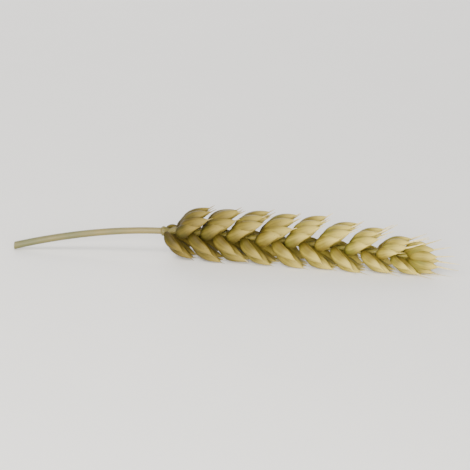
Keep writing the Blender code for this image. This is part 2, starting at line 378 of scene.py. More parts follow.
def sheet_lines(length, columns, rows, section, outline):
    """A grid in edit mode, shaped column by column, then row by row. section(u) gives a column's place
    across and up, for u from -1 to 1; outline(v) gives a row's (width, depth, rise, shift)."""
    bpy.ops.mesh.primitive_grid_add(x_subdivisions=columns, y_subdivisions=rows, size=1, location=(0, 0, 0))
    item = bpy.context.active_object
    make_active(item)
    across_lines = lines(item, 0)
    along_lines = lines(item, 1)
    bpy.ops.object.mode_set(mode="EDIT")
    bpy.ops.mesh.select_mode(type="VERT")
    for number, line in enumerate(across_lines):
        share = number / columns
        across, up = section(2 * share - 1)
        choose(item, line)
        bpy.ops.transform.translate(value=(across - (share - 0.5), 0, up))
    for number, line in enumerate(along_lines):
        share = number / rows
        place = share**ROW_CROWDING
        width, depth, rise, shift = outline(place)
        choose(item, line)
        centre = (0, share - 0.5, 0)
        bpy.ops.transform.resize(value=(width, 1, depth), center_override=centre)
        bpy.ops.transform.translate(value=(shift, length * place - (share - 0.5), rise))
    bpy.ops.object.mode_set(mode="OBJECT")
    return item


def mirrored(item, name):
    """A left-handed copy, with its faces turned the right way again."""
    make_active(item)
    bpy.ops.object.duplicate()
    twin = bpy.context.active_object
    twin.name = name
    bpy.ops.object.mode_set(mode="EDIT")
    bpy.ops.mesh.select_all(action="SELECT")
    bpy.ops.transform.resize(value=(-1, 1, 1), center_override=(0, 0, 0))
    bpy.ops.mesh.flip_normals()
    bpy.ops.object.mode_set(mode="OBJECT")
    return twin


def rod(name, sides, rings):
    """A closed rod along +Y: a cylinder cut into rings, each (centre, half width, half depth)."""
    bpy.ops.mesh.primitive_cylinder_add(
        vertices=sides, radius=1, depth=1, end_fill_type="TRIFAN", rotation=(-math.pi / 2, 0, 0)
    )
    item = bpy.context.active_object
    item.name = name
    make_active(item)
    bpy.ops.object.transform_apply(location=True, rotation=True, scale=True)
    bpy.ops.object.mode_set(mode="EDIT")
    bpy.ops.mesh.select_mode(type="EDGE")
    bpy.ops.mesh.select_all(action="DESELECT")
    shape = bmesh.from_edit_mesh(item.data)
    for edge in shape.edges:
        if abs(edge.verts[0].co.y - edge.verts[1].co.y) > 0.5:
            edge.select_set(True)
    bmesh.update_edit_mesh(item.data)
    bpy.ops.mesh.subdivide(number_cuts=len(rings) - 2)
    bpy.ops.mesh.select_mode(type="VERT")
    bpy.ops.object.mode_set(mode="OBJECT")
    ring_lines = lines(item, 1)
    bpy.ops.object.mode_set(mode="EDIT")
    for number, line in enumerate(ring_lines):
        centre, half_width, half_depth = rings[number]
        middle = Vector((0, number / (len(rings) - 1) - 0.5, 0))
        choose(item, line)
        bpy.ops.transform.resize(value=(half_width, 1, half_depth), center_override=middle)
        bpy.ops.transform.translate(value=centre - middle)
    bpy.ops.object.mode_set(mode="OBJECT")
    return item


def placed_copy(master, root, along, back, tint, stretch=1.0, size=1.0, sway=0.0, twist=0.0):
    """A copy with its own mesh: its length lies along, and its back faces back."""
    mesh = master.data.copy()
    across = along.cross(back)
    turn = Matrix((across, along, back)).transposed().to_4x4()
    length = max(vertex.co.y for vertex in mesh.vertices)
    for vertex in mesh.vertices:
        v = vertex.co.y / length
        angle = twist * v * v
        x, z = vertex.co.x, vertex.co.z
        point = Vector((
            x * math.cos(angle) - z * math.sin(angle) + sway * v * v,
            vertex.co.y * stretch,
            x * math.sin(angle) + z * math.cos(angle),
        )) * size
        vertex.co = settled(turn @ point + root)
    mark = mesh.attributes.new("tint", "FLOAT", "POINT")
    mark.data.foreach_set("value", [tint] * len(mesh.vertices))
    item = bpy.data.objects.new(master.name, mesh)
    bpy.context.scene.collection.objects.link(item)
    return item


def stray_hull(master, root, along, back, stretch, size, draw):
    """A copy that is swayed and twisted a little, as no two hulls are alike."""
    sway = draw.uniform(-HULL_SWAY, HULL_SWAY) * MM
    twist = math.radians(draw.uniform(-HULL_TWIST, HULL_TWIST))
    return placed_copy(master, root, along, back, draw.random(), stretch, size, sway, twist)


def join_pieces(name, items):
    """The items as one piece, which sits at the origin."""
    deselect_all()
    for item in items:
        item.select_set(True)
    bpy.context.view_layer.objects.active = items[0]
    bpy.ops.object.join()
    piece = bpy.context.view_layer.objects.active
    piece.name = name
    piece.data.name = name
    return piece


def thicken(piece, thickness):
    """Gives a sheet its wall, on the inner side, and marks that side for its own paler colour."""
    outer = len(piece.data.vertices)
    make_active(piece)
    bpy.ops.object.modifier_add(type="SOLIDIFY")
    wall = piece.modifiers[-1]
    wall.thickness = thickness
    wall.offset = -1
    bpy.ops.object.modifier_apply(modifier=wall.name)
    for vertex in piece.data.vertices:
        vertex.co.z = max(0.0, vertex.co.z)
    mark = piece.data.attributes.new("inner", "FLOAT", "POINT")
    mark.data.foreach_set("value", [float(number >= outer) for number in range(len(piece.data.vertices))])


def finish_piece(piece, material):
    make_active(piece)
    piece.data.materials.clear()
    piece.data.materials.append(material)
    bpy.ops.object.shade_smooth_by_angle(angle=SMOOTH_ANGLE)
    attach(piece, "root")


def remove(*items):
    for item in items:
        bpy.data.objects.remove(item, do_unlink=True)


# The shapes that repeat


def hull_outline(t):
    """Share of a hull's full width at t, from its root to the root of its awn."""
    return max(0.0, math.sin(math.pi * t**OUTLINE_SKEW)) ** OUTLINE_FULLNESS


def tip_share(v, organ, sizes):
    """The narrowest that a hull gets at v, as a share of its full width: its tip closes round the awn."""
    return sizes.awn_radius * mixed(1.0, 0.5, smoothstep((v - 0.85) / 0.15)) / organ["half_width"]


def nerve_relief(u, relief):
    """Raised lines along a hull, one on every few columns, and none at its edges."""
    column = round((u + 1) / 2 * HULL_COLUMNS)
    return relief if column % COLUMNS_PER_NERVE == 0 and 2 < column < HULL_COLUMNS - 2 else 0.0


def lemma_master(organ, name, sizes):
    """The outer husk of a floret: a boat with a round back, whose edges wrap round the inner husk."""
    wrap = math.radians(112)
    edges_turned_in = 0.05
    foot_share = 0.3

    def section(u):
        radius = 1 + nerve_relief(u, sizes.nerve_relief) - edges_turned_in * abs(u) ** 6
        return math.sin(u * wrap) * radius, math.cos(u * wrap) * radius

    def outline(v):
        share = max(hull_outline(v), foot_share * (1 - v), tip_share(v, organ, sizes))
        return (
            organ["half_width"] * share,
            organ["depth"] * share,
            organ["arch"] * math.sin(math.pi * v),
            0.0,
        )

    item = sheet_lines(organ["length"], HULL_COLUMNS, HULL_ROWS, section, outline)
    item.name = name
    return item


def glume_master(organ, name, sizes):
    """A glume: keeled, with a broad shoulder on one side of the keel and a short stout beak."""
    wrap = math.radians(102)
    keel_height, keel_width = 0.13, 0.09
    narrow_side = 0.92
    foot_share = 0.16
    shoulder_width = -0.35 * MM

    def section(u):
        keel = keel_height * math.exp(-((u / keel_width) ** 2))
        radius = 1 + keel + nerve_relief(u, sizes.nerve_relief)
        side = 1.0 if u < 0 else narrow_side
        return math.sin(u * wrap) * radius * side, math.cos(u * wrap) * radius

    def outline(v):
        share = max(hull_outline(v), foot_share * (1 - v), tip_share(v, organ, sizes))
        shoulder = shoulder_width * smoothstep((v - 0.45) / 0.3) * (1 - smoothstep((v - 0.85) / 0.15))
        return (
            organ["half_width"] * share,
            organ["depth"] * share,
            organ["arch"] * math.sin(math.pi * v),
            shoulder,
        )

    item = sheet_lines(organ["length"], HULL_COLUMNS, HULL_ROWS, section, outline)
    item.name = name
    return item


def palea_master(organ, name):
    """The inner husk: two keels with a shallow furrow between them."""
    wrap = math.radians(98)
    keel_height, keel_place, keel_width = 0.12, 0.45, 0.13
    furrow = 0.94
    foot_share, end_share = 0.25, 0.03

    def section(u):
        keels = keel_height * math.exp(-(((abs(u) - keel_place) / keel_width) ** 2))
        return math.sin(u * wrap) * (1 + keels), math.cos(u * wrap) * (furrow + keels)

    def outline(v):
        share = max(hull_outline(v), foot_share * (1 - v), end_share) * PALEA_FIT
        return (
            organ["half_width"] * share,
            organ["depth"] * PALEA_DEPTH * share,
            PALEA_ARCH * organ["arch"] * math.sin(math.pi * v),
            0.0,
        )

    item = sheet_lines(organ["length"] * PALEA_LENGTH, HUSK_COLUMNS, HUSK_ROWS, section, outline)
    item.name = name
    return item


def awn_master(name):
    """An awn of length 1 and radius 1, slim at its root and thinning to its tip."""
    rings = []
    for number in range(AWN_RINGS):
        share = number / (AWN_RINGS - 1)
        radius = mixed(0.55, 1.0, smoothstep(share / 0.2)) * mixed(1.0, 0.2, share**0.9)
        rings.append((Vector((0, share, 0)), radius, radius))
    return rod(name, AWN_SIDES, rings)


def hair_master(name):
    """A hair of length 1 and radius 1."""
    rings = []
    for share in (0, 0.4, 0.75, 1):
        radius = 1 - 0.8 * share
        rings.append((Vector((0, share, 0)), radius, radius))
    return rod(name, HAIR_SIDES, rings)


def rachilla_master(name):
    """The short stem inside a spikelet, 1 mm long, that carries its florets."""
    rings = []
    for share, radius in ((0, 0.7), (0.15, 1.0), (0.4, 1.1), (0.7, 0.85), (0.9, 0.6), (1, 0.3)):
        rings.append((Vector((0, share * MM, 0)), radius * MM, 0.85 * radius * MM))
    return rod(name, STEM_SIDES, rings)


def internode_master(name):
    """One step of the rachis: flattened, slim at its foot and broad under the next spikelet."""
    rounded_rings = (
        (0, 0.7), (0.08, 1), (0.3, 1), (0.5, 1), (0.7, 1), (0.86, 1), (0.95, 0.88), (1, 0.55),
    )
    rings = []
    for share, rounding in rounded_rings:
        flare = smoothstep(share)
        half_width = mixed(0.95, 1.4, flare) * rounding * MM
        half_depth = mixed(0.85, 1.1, flare) * rounding * MM
        rings.append((Vector((0, mixed(-0.06, 1.12, share) * NODE_PITCH, 0)), half_width, half_depth))
    return rod(name, RACHIS_SIDES, rings)


# The finishes


def new_material(name):
    material = bpy.data.materials.new(name)
    material.use_nodes = True
    return material, material.node_tree, material.node_tree.nodes["Principled BSDF"]


def add_node(tree, kind, values=None, **settings):
    """A node with its settings; values are numbers, colours or other nodes' sockets, by input."""
    node = tree.nodes.new(kind)
    for key, value in settings.items():
        setattr(node, key, value)
    for key, value in (values or {}).items():
        socket = node.inputs[key]
        if isinstance(value, bpy.types.NodeSocket):
            tree.links.new(value, socket)
        elif socket.type == "RGBA":
            socket.default_value = (*value[:3], 1.0)
        else:
            socket.default_value = value
    return node


def math_node(tree, operation, first, second=0.0, clamp=False):
    values = {0: first, 1: second}
    return add_node(tree, "ShaderNodeMath", values, operation=operation, use_clamp=clamp).outputs[0]


def times(tree, first, second):
    return math_node(tree, "MULTIPLY", first, second)


def ramp(tree, value, low, high, start=0.0, end=1.0):
    """The value moved smoothly from the range low to high into start to end."""
    values = {"Value": value, 1: low, 2: high, 3: start, 4: end}
    return add_node(tree, "ShaderNodeMapRange", values, interpolation_type="SMOOTHSTEP").outputs[0]


def blend(tree, factor, first, second, mode="MIX"):
    """The first colour turned into the second as far as the factor says, or multiplied by it."""
    node = tree.nodes.new("ShaderNodeMix")
    node.data_type = "RGBA"
    node.blend_type = mode
    for socket, value in ((node.inputs[0], factor), (node.inputs[6], first), (node.inputs[7], second)):
        if isinstance(value, bpy.types.NodeSocket):
            tree.links.new(value, socket)
        elif socket.type == "RGBA":
            socket.default_value = (*value[:3], 1.0)
        else:
            socket.default_value = value
    return node.outputs[2]


def noise(tree, vector, scale, detail=3.0, roughness=0.55):
    values = {"Vector": vector, "Scale": scale, "Detail": detail, "Roughness": roughness}
    return add_node(tree, "ShaderNodeTexNoise", values).outputs[0]


def add_bump(tree, shader, height, strength, distance):
    bump = add_node(tree, "ShaderNodeBump", {"Strength": strength, "Distance": distance, "Height": height})
    tree.links.new(bump.outputs[0], shader.inputs["Normal"])


def surface_places(tree):
    """(across, along, the copy's own tint, place on the ear)"""
    layout = add_node(tree, "ShaderNodeUVMap", uv_map="UVMap")
    parts = add_node(tree, "ShaderNodeSeparateXYZ", {0: layout.outputs[0]})
    tint = add_node(tree, "ShaderNodeAttribute", attribute_name="tint")
    place = add_node(tree, "ShaderNodeTexCoord")
    return parts.outputs[0], parts.outputs[1], tint.outputs[2], place.outputs["Object"]


def streaks(tree, across, along, tint, fineness, stretch):
    """Fine lines along a hull or straw, different on every copy."""
    wide = times(tree, across, fineness)
    long = times(tree, along, stretch)
    own = times(tree, tint, 91.7)
    vector = add_node(tree, "ShaderNodeCombineXYZ", {0: wide, 1: long, 2: own}).outputs[0]
    return noise(tree, vector, 1.0, 3.0, 0.6)


def darkened_for_ripening_and_shadow(tree, colour, place, colours, share=1.0):
    """The colour, darker from the middle of the ear down to the straw: partly because it ripens last there,
    and partly a painted shadow over the collar end.
    """
    from_collar = add_node(tree, "ShaderNodeSeparateXYZ", {0: place}).outputs[0]
    low = ORIGIN_SHIFT.x + TONE_STARTS * RACHIS_LENGTH
    high = ORIGIN_SHIFT.x + TONE_ENDS * RACHIS_LENGTH
    tone = blend(tree, ramp(tree, from_collar, low, high), colours.ripening_and_shadow_tone, WHITE)
    return blend(tree, share, colour, tone, "MULTIPLY")


def hull_material(name, colours, green_share, margin_share, nerve_share):
    """Dry papery hull: a light back and tip, olive, with brown painted shade towards its flanks and foot, and
    darker nerves.
    """
    material, tree, shader = new_material(name)
    across, along, tint, place = surface_places(tree)
    fine = streaks(tree, across, along, tint, 46.0, 3.0)
    broad = streaks(tree, across, along, math_node(tree, "ADD", tint, 0.37), 9.0, 1.6)
    patches = noise(tree, place, 190.0, 2.0)
    from_middle = math_node(tree, "ABSOLUTE", math_node(tree, "SUBTRACT", across, 0.5))
    # How ripe: every hull differs a little, and so do its streaks
    ripeness = math_node(tree, "ADD", tint, math_node(tree, "SUBTRACT", patches, 0.5))
    green = times(tree, ramp(tree, ripeness, 0.15, 0.85, 1.0, 0.15), green_share)
    green = times(tree, green, ramp(tree, along, 0.55, 0.92, 1.0, 0.1))
    colour = blend(tree, green, colours.hull_ripe, colours.hull_green)
    colour = blend(tree, ramp(tree, broad, 0.42, 0.68, 0.0, 0.35), colour, colours.margin)
    colour = blend(tree, ramp(tree, fine, 0.45, 0.75, 0.0, 0.4), colour, colours.hull_streaks_and_painted_shade)
    # A light ridge down the back, and painted shade on the flanks, where the hulls overlap
    ridge = times(tree, ramp(tree, from_middle, 0.02, 0.16, 1.0, 0.0), ramp(tree, along, 0.2, 0.6))
    colour = blend(tree, times(tree, ridge, 0.55), colour, colours.margin)
    flank_shade = ramp(tree, along, 0.5, 0.95, 0.5, 0.2)
    flank_shade = times(tree, ramp(tree, from_middle, 0.12, 0.36), flank_shade)
    colour = blend(tree, flank_shade, colour, colours.hull_streaks_and_painted_shade)
    # The nerves, over the raised columns of the mesh
    turn = times(tree, across, 2 * math.pi * HULL_COLUMNS / COLUMNS_PER_NERVE)
    nerve = ramp(tree, math_node(tree, "COSINE", turn), 0.6, 1.0)
    nerve = times(tree, nerve, ramp(tree, from_middle, 0.34, 0.44, 1.0, 0.0))
    nerve = times(tree, nerve, ramp(tree, along, 0.1, 0.35, 0.2, nerve_share))
    colour = blend(tree, nerve, colour, colours.nerve)
    # The papery edges, the pale tip, and painted shade at the foot, where the hulls crowd together
    edge = times(tree, ramp(tree, from_middle, 0.455, 0.49), margin_share)
    colour = blend(tree, edge, colour, colours.margin)
    colour = blend(tree, times(tree, ramp(tree, along, 0.66, 0.97), 0.9), colour, colours.tip)
    # Painted shade at the foot of each hull
    colour = blend(tree, ramp(tree, along, 0.0, 0.3, 0.5, 0.0), colour, colours.hull_streaks_and_painted_shade)
    specks = times(tree, ramp(tree, noise(tree, place, 1500.0, 2.0), 0.66, 0.74), 0.5)
    # Specks, then darker towards the collar: partly ripening, partly painted shadow
    colour = darkened_for_ripening_and_shadow(tree, blend(tree, specks, colour, colours.speck), place, colours)
    inner = add_node(tree, "ShaderNodeAttribute", attribute_name="inner").outputs[2]
    colour = blend(tree, times(tree, inner, INNER_PALENESS), colour, colours.tip)
    tree.links.new(colour, shader.inputs["Base Color"])
    tree.links.new(ramp(tree, fine, 0.2, 0.8, 0.5, 0.68), shader.inputs["Roughness"])
    shader.inputs["Specular IOR Level"].default_value = 0.22
    grain = times(tree, noise(tree, place, 2600.0, 2.0), 0.25)
    height = math_node(tree, "ADD", times(tree, fine, 0.8), grain)
    add_bump(tree, shader, height, 0.6, 0.12 * MM)
    return material


def awn_material(colours):
    """Pale dry bristle; the glumes' beaks stay nearer to the colour of the hulls."""
    material, tree, shader = new_material("awn_bristle")
    _, along, tint, place = surface_places(tree)
    awns_only = ramp(tree, tint, 0.45, 0.55)
    colour = blend(tree, times(tree, ramp(tree, along, 0.3, 0.9), awns_only), colours.tip, colours.awn)
    stains = ramp(tree, noise(tree, place, 900.0), 0.45, 0.75, 0.0, 0.4)
    colour = blend(tree, stains, colour, colours.hull_streaks_and_painted_shade)
    # Darker towards the collar: partly ripening, partly painted shadow
    tree.links.new(darkened_for_ripening_and_shadow(tree, colour, place, colours), shader.inputs["Base Color"])
    shader.inputs["Roughness"].default_value = 0.5
    return material


def hair_material(colours):
    """Pale hairs, each a little greener or paler than the next."""
    material, tree, shader = new_material("pale_hairs")
    _, along, tint, place = surface_places(tree)
    colour = blend(tree, along, colours.margin, colours.awn)
    colour = blend(tree, times(tree, tint, 0.4), colour, colours.hull_ripe)
    # Darker towards the collar: partly ripening, partly painted shadow
    tree.links.new(darkened_for_ripening_and_shadow(tree, colour, place, colours), shader.inputs["Base Color"])
    shader.inputs["Roughness"].default_value = 0.55
    return material


def rachis_material(colours):
    """Greenish stalk with fine brown lines, the colour of straw at the collar."""
    material, tree, shader = new_material("rachis_stalk")
    across, along, tint, place = surface_places(tree)
    fine = streaks(tree, across, along, tint, 30.0, 1.5)
    from_collar = add_node(tree, "ShaderNodeSeparateXYZ", {0: place}).outputs[0]
    upwards = ramp(tree, from_collar, ORIGIN_SHIFT.x, ORIGIN_SHIFT.x + 12 * MM)
    colour = blend(tree, upwards, colours.straw_ripe, colours.margin)
    green = ramp(tree, noise(tree, place, 260.0), 0.3, 0.7, 0.1, 0.6)
    colour = blend(tree, green, colour, colours.hull_green)
    colour = blend(tree, ramp(tree, fine, 0.4, 0.7, 0.0, 0.5), colour, colours.hull_streaks_and_painted_shade)
    # Darker towards the collar, less than the hulls: partly ripening, partly painted shadow
    tree.links.new(darkened_for_ripening_and_shadow(tree, colour, place, colours, STALK_TONE), shader.inputs["Base Color"])
    shader.inputs["Roughness"].default_value = 0.6
    add_bump(tree, shader, fine, 0.5, 0.1 * MM)
    return material


def straw_material(colours, rib):
    """Dry straw: grey green, yellower towards the ear, with fine ribs as bump and a few brown flecks."""
    material, tree, shader = new_material("dry_straw")
    across, along, tint, place = surface_places(tree)
    fine = streaks(tree, across, along, tint, 60.0, 5.0)
    sections = add_node(tree, "ShaderNodeSeparateXYZ", {0: place}).outputs[0]
    ripe = ramp(tree, sections, CAD_LOW.x, CAD_LOW.x + STRAW_LENGTH, 0.25, 0.9)
    uneven = ramp(tree, noise(tree, place, 130.0), 0.3, 0.7, -0.25, 0.25)
    ripe = math_node(tree, "ADD", ripe, uneven, clamp=True)
    colour = blend(tree, ripe, colours.straw_green, colours.straw_ripe)
    colour = blend(tree, ramp(tree, fine, 0.42, 0.72, 0.0, 0.5), colour, colours.straw_shade)
    drawn_out = {"Vector": place, "Scale": (260.0, 900.0, 900.0)}
    fleck_place = add_node(tree, "ShaderNodeMapping", drawn_out).outputs[0]
    flecks = ramp(tree, noise(tree, fleck_place, 1.0, 2.0), 0.66, 0.74, 0.0, 0.55)
    colour = blend(tree, flecks, colour, colours.straw_fleck)
    # Darker towards the collar, less than the hulls: partly ripening, partly painted shadow
    tree.links.new(darkened_for_ripening_and_shadow(tree, colour, place, colours, STALK_TONE), shader.inputs["Base Color"])
    tree.links.new(ramp(tree, fine, 0.2, 0.8, 0.38, 0.55), shader.inputs["Roughness"])
    add_bump(tree, shader, fine, 0.6, rib)
    return material


# Sizes and colours


def colour_property(name, description, default):
    return FloatVectorProperty(
        name=name, description=description, default=default, subtype="COLOR", size=3, min=0.0, max=1.0
    )


def length_property(name, description, default):
    return FloatProperty(name=name, description=description, default=default, unit="LENGTH", precision=6)


class WheatEarSizes(bpy.types.PropertyGroup):
    hull_thickness: length_property("Hull thickness", "Wall of a glume or lemma", 0.12 * MM)
    husk_thickness: length_property("Inner husk thickness", "Wall of a palea", 0.1 * MM)
    nerve_relief: FloatProperty(
        name="Nerve relief", description="How far a nerve stands up, as a share of the hull's width",
        default=0.016, subtype="FACTOR", min=0.0, max=0.2,
    )
    awn_radius: length_property("Awn radius", "At the awn's root", 0.27 * MM)
    hair_length: length_property("Hair length", "Of the hairs on the rachis", 1.1 * MM)
    hair_radius: length_property("Hair radius", "At a hair's root", 0.035 * MM)
    hairs_at_node: IntProperty(
        name="Hairs at a node", description="How many fringe the rachis under one spikelet", default=22, min=1
    )
    straw_rib: length_property("Straw rib", "Depth of the fine ribs in the straw's bump", 0.08 * MM)


class WheatEarColours(bpy.types.PropertyGroup):
    hull_ripe: colour_property("Ripe hull", "Pale straw colour of the hulls", (0.212, 0.16, 0.0185))
    hull_green: colour_property("Green hull", "Where a hull is still green", (0.127, 0.127, 0.0128))
    # Real brown streaks and stains, and also the painted shade on each hull's flanks and foot
    hull_streaks_and_painted_shade: colour_property("Hull shade", "Streaks and the foot of each hull", (0.0886, 0.0518, 0.00648))
    nerve: colour_property("Nerve", "The nerves and the keel", (0.128, 0.0896, 0.0144))
    margin: colour_property("Hull edge", "The papery edges", (0.334, 0.265, 0.043))
    tip: colour_property("Hull tip", "Towards the awn", (0.528, 0.42, 0.1))
    awn: colour_property("Awn", "The awn's outer part", (0.704, 0.581, 0.282))
    speck: colour_property("Hull specks", "Small brown weather specks", (0.08, 0.044, 0.012))
    # Darkens the hulls near the collar: partly ripening, partly a painted cast shadow
    ripening_and_shadow_tone: colour_property("Lower hulls", "Tones down the hulls near the collar", (0.28, 0.243, 0.157))
    straw_green: colour_property("Green straw", "Towards the cut end", (0.152, 0.164, 0.056))
    straw_ripe: colour_property("Ripe straw", "Under the collar", (0.288, 0.232, 0.076))
    straw_shade: colour_property("Straw shade", "Between the ribs", (0.104, 0.088, 0.028))
    straw_fleck: colour_property("Straw flecks", "Small brown flecks", (0.16, 0.09, 0.03))
    floor: colour_property("Floor", "The surface that the ear lies on", (0.90, 0.89, 0.87))


# One operator for each group of like pieces


def settings(context):
    return context.scene.wheat_ear_sizes, context.scene.wheat_ear_colours


def own_draw(name):
    """Each group of pieces draws its own chances, so that a change in one leaves the others as they are."""
    return random.Random(f"{SEED} {name}")


def organs_of(originals):
    """Every organ of these kinds, from the collar to the tip, with how its master is stretched and sized."""
    by_kind = {original["kind"]: original for original in originals}
    found = []
    for organs in spikelets():
        for organ, side, root, along, back in organs:
            if organ["kind"] in by_kind:
                original = by_kind[organ["kind"]]
                size = organ["half_width"] / original["half_width"]
                stretch = organ["length"] / original["length"] / size
                found.append((organ["kind"], side, root, along, back, stretch, size))
    return found


def squared(back, along):
    """The back turned just enough to stand square to the length."""
    return (back - along * back.dot(along)).normalized()


class WHEATEAR_OT_straw(bpy.types.Operator):
    """Builds the cut straw, round outside, with the mouth of its hollow at the cut end"""

    bl_idname = "wheat_ear.straw"
    bl_label = "Straw"
    bl_options = {"REGISTER", "UNDO"}

    def execute(self, context):
        sizes, colours = settings(context)
        rings = []
        for number in range(STRAW_RINGS):
            share = number / (STRAW_RINGS - 1)
            centre = axis_point(mixed(-STRAW_LENGTH, 0.6 * MM, share))
            radius = mixed(STRAW_RADIUS_CUT, STRAW_RADIUS_TOP, share)
            rings.append((Vector((-centre.y, centre.x, centre.z)), radius, radius))
        straw = rod("straw_stalk", STRAW_SIDES, rings)
        self.open_end(straw, rings[0])
        straw.data.transform(Matrix.Translation(ORIGIN_SHIFT) @ Matrix.Rotation(-math.pi / 2, 4, "Z"))
        mark = straw.data.attributes.new("tint", "FLOAT", "POINT")
        mark.data.foreach_set("value", [STRAW_TINT] * len(straw.data.vertices))
        finish_piece(straw, straw_material(colours, sizes.straw_rib))
        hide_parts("straw")
        return {"FINISHED"}

    def open_end(self, straw, ring):
        """Sinks the hollow into the cut end's cap."""
        centre, radius, _ = ring
        make_active(straw)
        bpy.ops.object.mode_set(mode="EDIT")
        bpy.ops.mesh.select_mode(type="FACE")
        bpy.ops.mesh.select_all(action="DESELECT")
        shape = bmesh.from_edit_mesh(straw.data)
        for face in shape.faces:
            if max(abs(vertex.co.y - centre.y) for vertex in face.verts) < 0.01 * MM:
                face.select_set(True)
        bmesh.update_edit_mesh(straw.data)
        bpy.ops.mesh.inset(thickness=radius - STRAW_BORE_RADIUS, depth=0)
        way = axis_point(STRAW_BORE_DEPTH - STRAW_LENGTH) - axis_point(-STRAW_LENGTH)
        bpy.ops.mesh.extrude_region_move(TRANSFORM_OT_translate={"value": (-way.y, way.x, way.z)})
        bpy.ops.object.mode_set(mode="OBJECT")


class WHEATEAR_OT_rachis(bpy.types.Operator):
    """Builds the zigzag rachis, step by step, with the collar under it and a short stem into each spikelet"""

    bl_idname = "wheat_ear.rachis"
    bl_label = "Rachis"
    bl_options = {"REGISTER", "UNDO"}

    def execute(self, context):
        _, colours = settings(context)
        draw = own_draw("rachis")
        items = [*self.steps(draw), *self.stems(draw), self.collar(draw)]
        rachis = join_pieces("rachis", items)
        finish_piece(rachis, rachis_material(colours))
        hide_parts("head")
        return {"FINISHED"}

    def steps(self, draw):
        """The steps from one node to the next, from the collar up."""
        master = internode_master("rachis_step")
        nodes = [axis_point(1.0 * MM)]
        for index in range(SIDE_SPIKELETS + 1):
            nodes.append(node_point(index))
        items = []
        for number in range(len(nodes) - 1):
            along = nodes[number + 1] - nodes[number]
            stretch = along.length / NODE_PITCH
            along.normalize()
            back = squared(axis_frame(node_place(number))[1], along)
            size = mixed(1.0, RACHIS_SIZE_AT_TIP, number / len(nodes))
            items.append(placed_copy(master, nodes[number], along, back, draw.random(), stretch / size, size))
        remove(master)
        return items

    def stems(self, draw):
        """The stem inside each side spikelet, from between its glumes to its top floret."""
        master = rachilla_master("rachilla")
        items = []
        for organs in spikelets()[:SIDE_SPIKELETS]:
            foot = (organs[0][2] + organs[1][2]) / 2
            top, _, root, _, back = organs[-1]
            along = root - foot
            stretch = along.length / MM
            along.normalize()
            size = top["half_width"] / TOP_FLORET["half_width"]
            back = squared(back, along)
            items.append(placed_copy(master, foot, along, back, draw.random(), stretch / size, size))
        remove(master)
        return items

    def collar(self, draw):
        """The ring that the lowest spikelet stands on."""
        rings = []
        for share, radius in COLLAR_PROFILE:
            rings.append((Vector((0, share * COLLAR_LENGTH, 0)), radius * MM, radius * MM))
        master = rod("collar", COLLAR_SIDES, rings)
        tangent, row, _ = axis_frame(0)
        collar = placed_copy(master, axis_point(0), tangent, row, draw.random())
        remove(master)
        return collar


class WHEATEAR_OT_hairs(bpy.types.Operator):
    """Builds the short pale hairs that fringe the rachis under each spikelet"""

    bl_idname = "wheat_ear.hairs"
    bl_label = "Hairs"
    bl_options = {"REGISTER", "UNDO"}

    def execute(self, context):
        sizes, colours = settings(context)
        draw = own_draw("hairs")
        master = hair_master("hair")
        items = []
        for index in range(SIDE_SPIKELETS):
            tangent, row, face = axis_frame(node_place(index))
            for number in range(sizes.hairs_at_node):
                around = 2 * math.pi * (number + draw.random()) / sizes.hairs_at_node
                outwards = face * math.cos(around) + row * math.sin(around)
                root = node_point(index)
                root += face * math.cos(around) * HAIR_RING_WIDTH + row * math.sin(around) * HAIR_RING_DEPTH
                root -= tangent * draw.uniform(*HAIR_DROP) * MM
                along = (tangent + outwards * draw.uniform(*HAIR_LEAN)).normalized()
                back = squared(outwards, along)
                length = sizes.hair_length * draw.uniform(*HAIR_LENGTHS)
                radius = sizes.hair_radius
                items.append(placed_copy(master, root, along, back, draw.random(), length / radius, radius))
        remove(master)
        hairs = join_pieces("hairs", items)
        finish_piece(hairs, hair_material(colours))
        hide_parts("head")
        return {"FINISHED"}


class WHEATEAR_OT_glumes(bpy.types.Operator):
    """Builds the two keeled glumes at the foot of every spikelet"""

    bl_idname = "wheat_ear.glumes"
    bl_label = "Glumes"
    bl_options = {"REGISTER", "UNDO"}

    def execute(self, context):
        sizes, colours = settings(context)
        draw = own_draw("glumes")
        right = glume_master(GLUME, "glume_right", sizes)
        left = mirrored(right, "glume_left")
        items = []
        for _, side, root, along, back, stretch, size in organs_of([GLUME]):
            master = right if side > 0 else left
            items.append(stray_hull(master, root, along, back, stretch, size, draw))
        remove(right, left)
        glumes = join_pieces("glumes", items)
        thicken(glumes, sizes.hull_thickness)
        finish_piece(glumes, hull_material("glume_hull", colours, 1.0, 0.75, 0.5))
        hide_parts("head")
        return {"FINISHED"}


class WHEATEAR_OT_lemmas(bpy.types.Operator):
    """Builds the florets' outer husks, a fan of them in every spikelet"""

    bl_idname = "wheat_ear.lemmas"
    bl_label = "Lemmas"
    bl_options = {"REGISTER", "UNDO"}

    def execute(self, context):
        sizes, colours = settings(context)
        draw = own_draw("lemmas")
        masters = {organ["kind"]: lemma_master(organ, "lemma_" + organ["kind"], sizes) for organ in FLORETS}
        items = []
        for kind, _, root, along, back, stretch, size in organs_of(FLORETS):
            items.append(stray_hull(masters[kind], root, along, back, stretch, size, draw))
        remove(*masters.values())
        lemmas = join_pieces("lemmas", items)
        thicken(lemmas, sizes.hull_thickness)
        finish_piece(lemmas, hull_material("lemma_hull", colours, 0.8, 0.5, 0.55))
        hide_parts("head")
        return {"FINISHED"}


